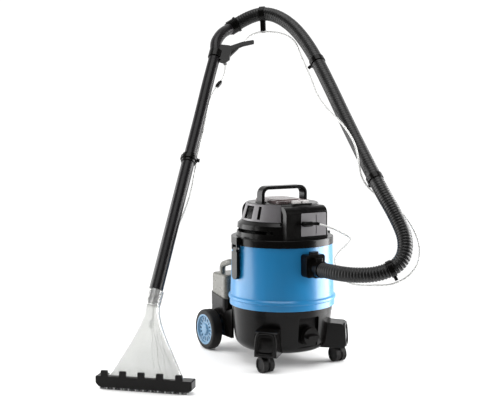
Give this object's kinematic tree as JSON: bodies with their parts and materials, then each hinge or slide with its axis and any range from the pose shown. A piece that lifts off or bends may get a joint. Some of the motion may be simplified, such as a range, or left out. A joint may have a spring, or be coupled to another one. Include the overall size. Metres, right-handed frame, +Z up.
{
  "type": "carpet cleaner machine",
  "caption": "Drum carpet cleaner on castors and rear wheels, with motor head, solution tank, suction hose, spray tubes, and a wand with a clear fan-shaped floor nozzle.",
  "frame": {"origin": "on the floor, under the middle of the object's box measured without the hose, the spray tubes and their clips", "axes": "+Z up; -Y is the machine's front, where the hose plugs in; +X is the machine's right seen from the front"},
  "size_m": [0.8681, 0.8641, 1.1597],
  "materials": {
    "drum_blue": "smooth satin blue",
    "hub_blue": "smooth light blue",
    "body_black": "fine-grained black",
    "tube_black": "glossy black",
    "panel_grey": "satin dark grey",
    "lid_tinted": "smoked translucent",
    "switch_grey": "smooth grey",
    "hose_black": "ribbed black",
    "spray_tube_clear": "translucent white",
    "nozzle_clear": "clear",
    "tank_milky": "milky translucent",
    "tank_cap_grey": "grey",
    "bristle_black": "matt",
    "tyre_black": "treaded",
    "axle_steel": "ground",
    "float_white": "smooth"
  },
  "bodies": {
    "machine": {"base_tub": "body_black", "drum": "drum_blue", "inlet_port": "body_black", "hose_cuff": "body_black", "suction_hose": "hose_black", "hose_clip_lower": "body_black", "hose_clip_middle": "body_black", "hose_clip_upper": "body_black", "hose_strap": "body_black", "spray_tube_upper": "spray_tube_clear", "spray_tube_lower": "spray_tube_clear", "tube_connector": "body_black", "wand_cuff": "body_black", "handle_tube": "tube_black", "wand_collar": "body_black", "wand_tube_lower": "tube_black", "spray_valve": "body_black", "nozzle_shell": "nozzle_clear", "spray_jet": "nozzle_clear", "brush_bar": "body_black", "brush_strip_front": "bristle_black", "brush_strip_rear": "bristle_black", "rear_bracket": "body_black", "rear_axle": "axle_steel", "tank_nipple": "body_black", "foot_left": "body_black", "foot_right": "body_black"},
    "head": {"head_base": "body_black", "head_cover": "body_black", "front_panel": "panel_grey", "top_panel": "lid_tinted", "carry_handle": "body_black", "switch_bezel": "body_black", "spray_socket": "body_black", "cable_gland": "body_black", "motor_housing": "body_black", "pump": "panel_grey", "float_cage": "float_white", "vent_panel_left": "panel_grey", "vent_panel_right": "panel_grey"},
    "trigger": {"trigger_lever": "body_black"},
    "release_button": {"inlet_release_button": "tube_black"},
    "solution_tank": {"solution_tank": "tank_milky", "tank_elbow": "tank_milky"},
    "tank_cap": {"tank_cap": "tank_cap_grey"},
    "drain_plug": {"drain_plug": "body_black"},
    "fan": {"fan_rotor": "body_black"},
    "float": {"float_cup": "float_white"},
    "rear_wheel_left": {"rear_tyre_left": "tyre_black", "rear_hub_left": "hub_blue"},
    "rear_wheel_right": {"rear_tyre_right": "tyre_black", "rear_hub_right": "hub_blue"},
    "castor_left": {"castor_fork_left": "body_black"},
    "castor_right": {"castor_fork_right": "body_black"},
    "castor_roll_left": {"castor_wheels_left": "tyre_black"},
    "castor_roll_right": {"castor_wheels_right": "tyre_black"},
    "latch_left": {"latch_left": "body_black"},
    "latch_right": {"latch_right": "body_black"},
    "rocker_left": {"switch_rocker_left": "switch_grey"},
    "rocker_right": {"switch_rocker_right": "switch_grey"}
  },
  "joints": [
    {"name": "head_lift", "type": "slide", "parent": "machine", "child": "head", "axis": [0, 0, 1], "range_m": [0, 0.12]},
    {"name": "trigger_squeeze", "type": "hinge", "parent": "machine", "child": "trigger", "pos_m": [0.20126, 0.19293, 1.00463], "axis": [-0.4251, -0.7075, 0.5646], "range_deg": [0, 12], "stiffness_Nm_per_rad": 0.6, "springref_deg": -14.32},
    {"name": "release_press", "type": "slide", "parent": "machine", "child": "release_button", "axis": [0, 0, -1], "range_m": [0, 0.003], "stiffness_N_per_m": 400, "springref_m": -0.003},
    {"name": "tank_lift", "type": "slide", "parent": "machine", "child": "solution_tank", "axis": [0, 0, 1], "range_m": [0, 0.16]},
    {"name": "cap_turn", "type": "hinge", "parent": "solution_tank", "child": "tank_cap", "pos_m": [0.28398, 0.13706, 0.255], "axis": [0, 0, 1], "range_deg": [0, 180]},
    {"name": "drain_turn", "type": "hinge", "parent": "machine", "child": "drain_plug", "pos_m": [0.23798, -0.24894, 0.104], "axis": [0, -1, 0], "range_deg": [0, 90]},
    {"name": "fan_spin", "type": "hinge", "parent": "head", "child": "fan", "pos_m": [0.23798, -0.08894, 0.409], "axis": [0, 0, 1], "continuous": true},
    {"name": "float_rise", "type": "slide", "parent": "head", "child": "float", "axis": [0, 0, 1], "range_m": [0, 0.034]},
    {"name": "rear_wheel_turn_left", "type": "hinge", "parent": "machine", "child": "rear_wheel_left", "pos_m": [0.09998, 0.15106, 0.067], "axis": [1, 0, 0], "continuous": true},
    {"name": "castor_swivel_left", "type": "hinge", "parent": "machine", "child": "castor_left", "pos_m": [0.10198, -0.21694, 0.06], "axis": [0, 0, 1], "continuous": true},
    {"name": "castor_roll_left", "type": "hinge", "parent": "castor_left", "child": "castor_roll_left", "pos_m": [0.10198, -0.20694, 0.024], "axis": [1, 0, 0], "continuous": true},
    {"name": "latch_swing_left", "type": "hinge", "parent": "head", "child": "latch_left", "pos_m": [0.06648, -0.08894, 0.372], "axis": [0, 1, 0], "range_deg": [0, 100]},
    {"name": "rocker_tilt_left", "type": "hinge", "parent": "head", "child": "rocker_left", "pos_m": [0.22298, -0.19094, 0.508], "axis": [1, 0, 0], "range_deg": [0, 10]},
    {"name": "rear_wheel_turn_right", "type": "hinge", "parent": "machine", "child": "rear_wheel_right", "pos_m": [0.37598, 0.15106, 0.067], "axis": [1, 0, 0], "continuous": true},
    {"name": "castor_swivel_right", "type": "hinge", "parent": "machine", "child": "castor_right", "pos_m": [0.37398, -0.21694, 0.06], "axis": [0, 0, 1], "continuous": true},
    {"name": "castor_roll_right", "type": "hinge", "parent": "castor_right", "child": "castor_roll_right", "pos_m": [0.37398, -0.20694, 0.024], "axis": [1, 0, 0], "continuous": true},
    {"name": "latch_swing_right", "type": "hinge", "parent": "head", "child": "latch_right", "pos_m": [0.40948, -0.08894, 0.372], "axis": [0, -1, 0], "range_deg": [0, 100]},
    {"name": "rocker_tilt_right", "type": "hinge", "parent": "head", "child": "rocker_right", "pos_m": [0.25298, -0.19094, 0.508], "axis": [1, 0, 0], "range_deg": [0, 10]}
  ]
}
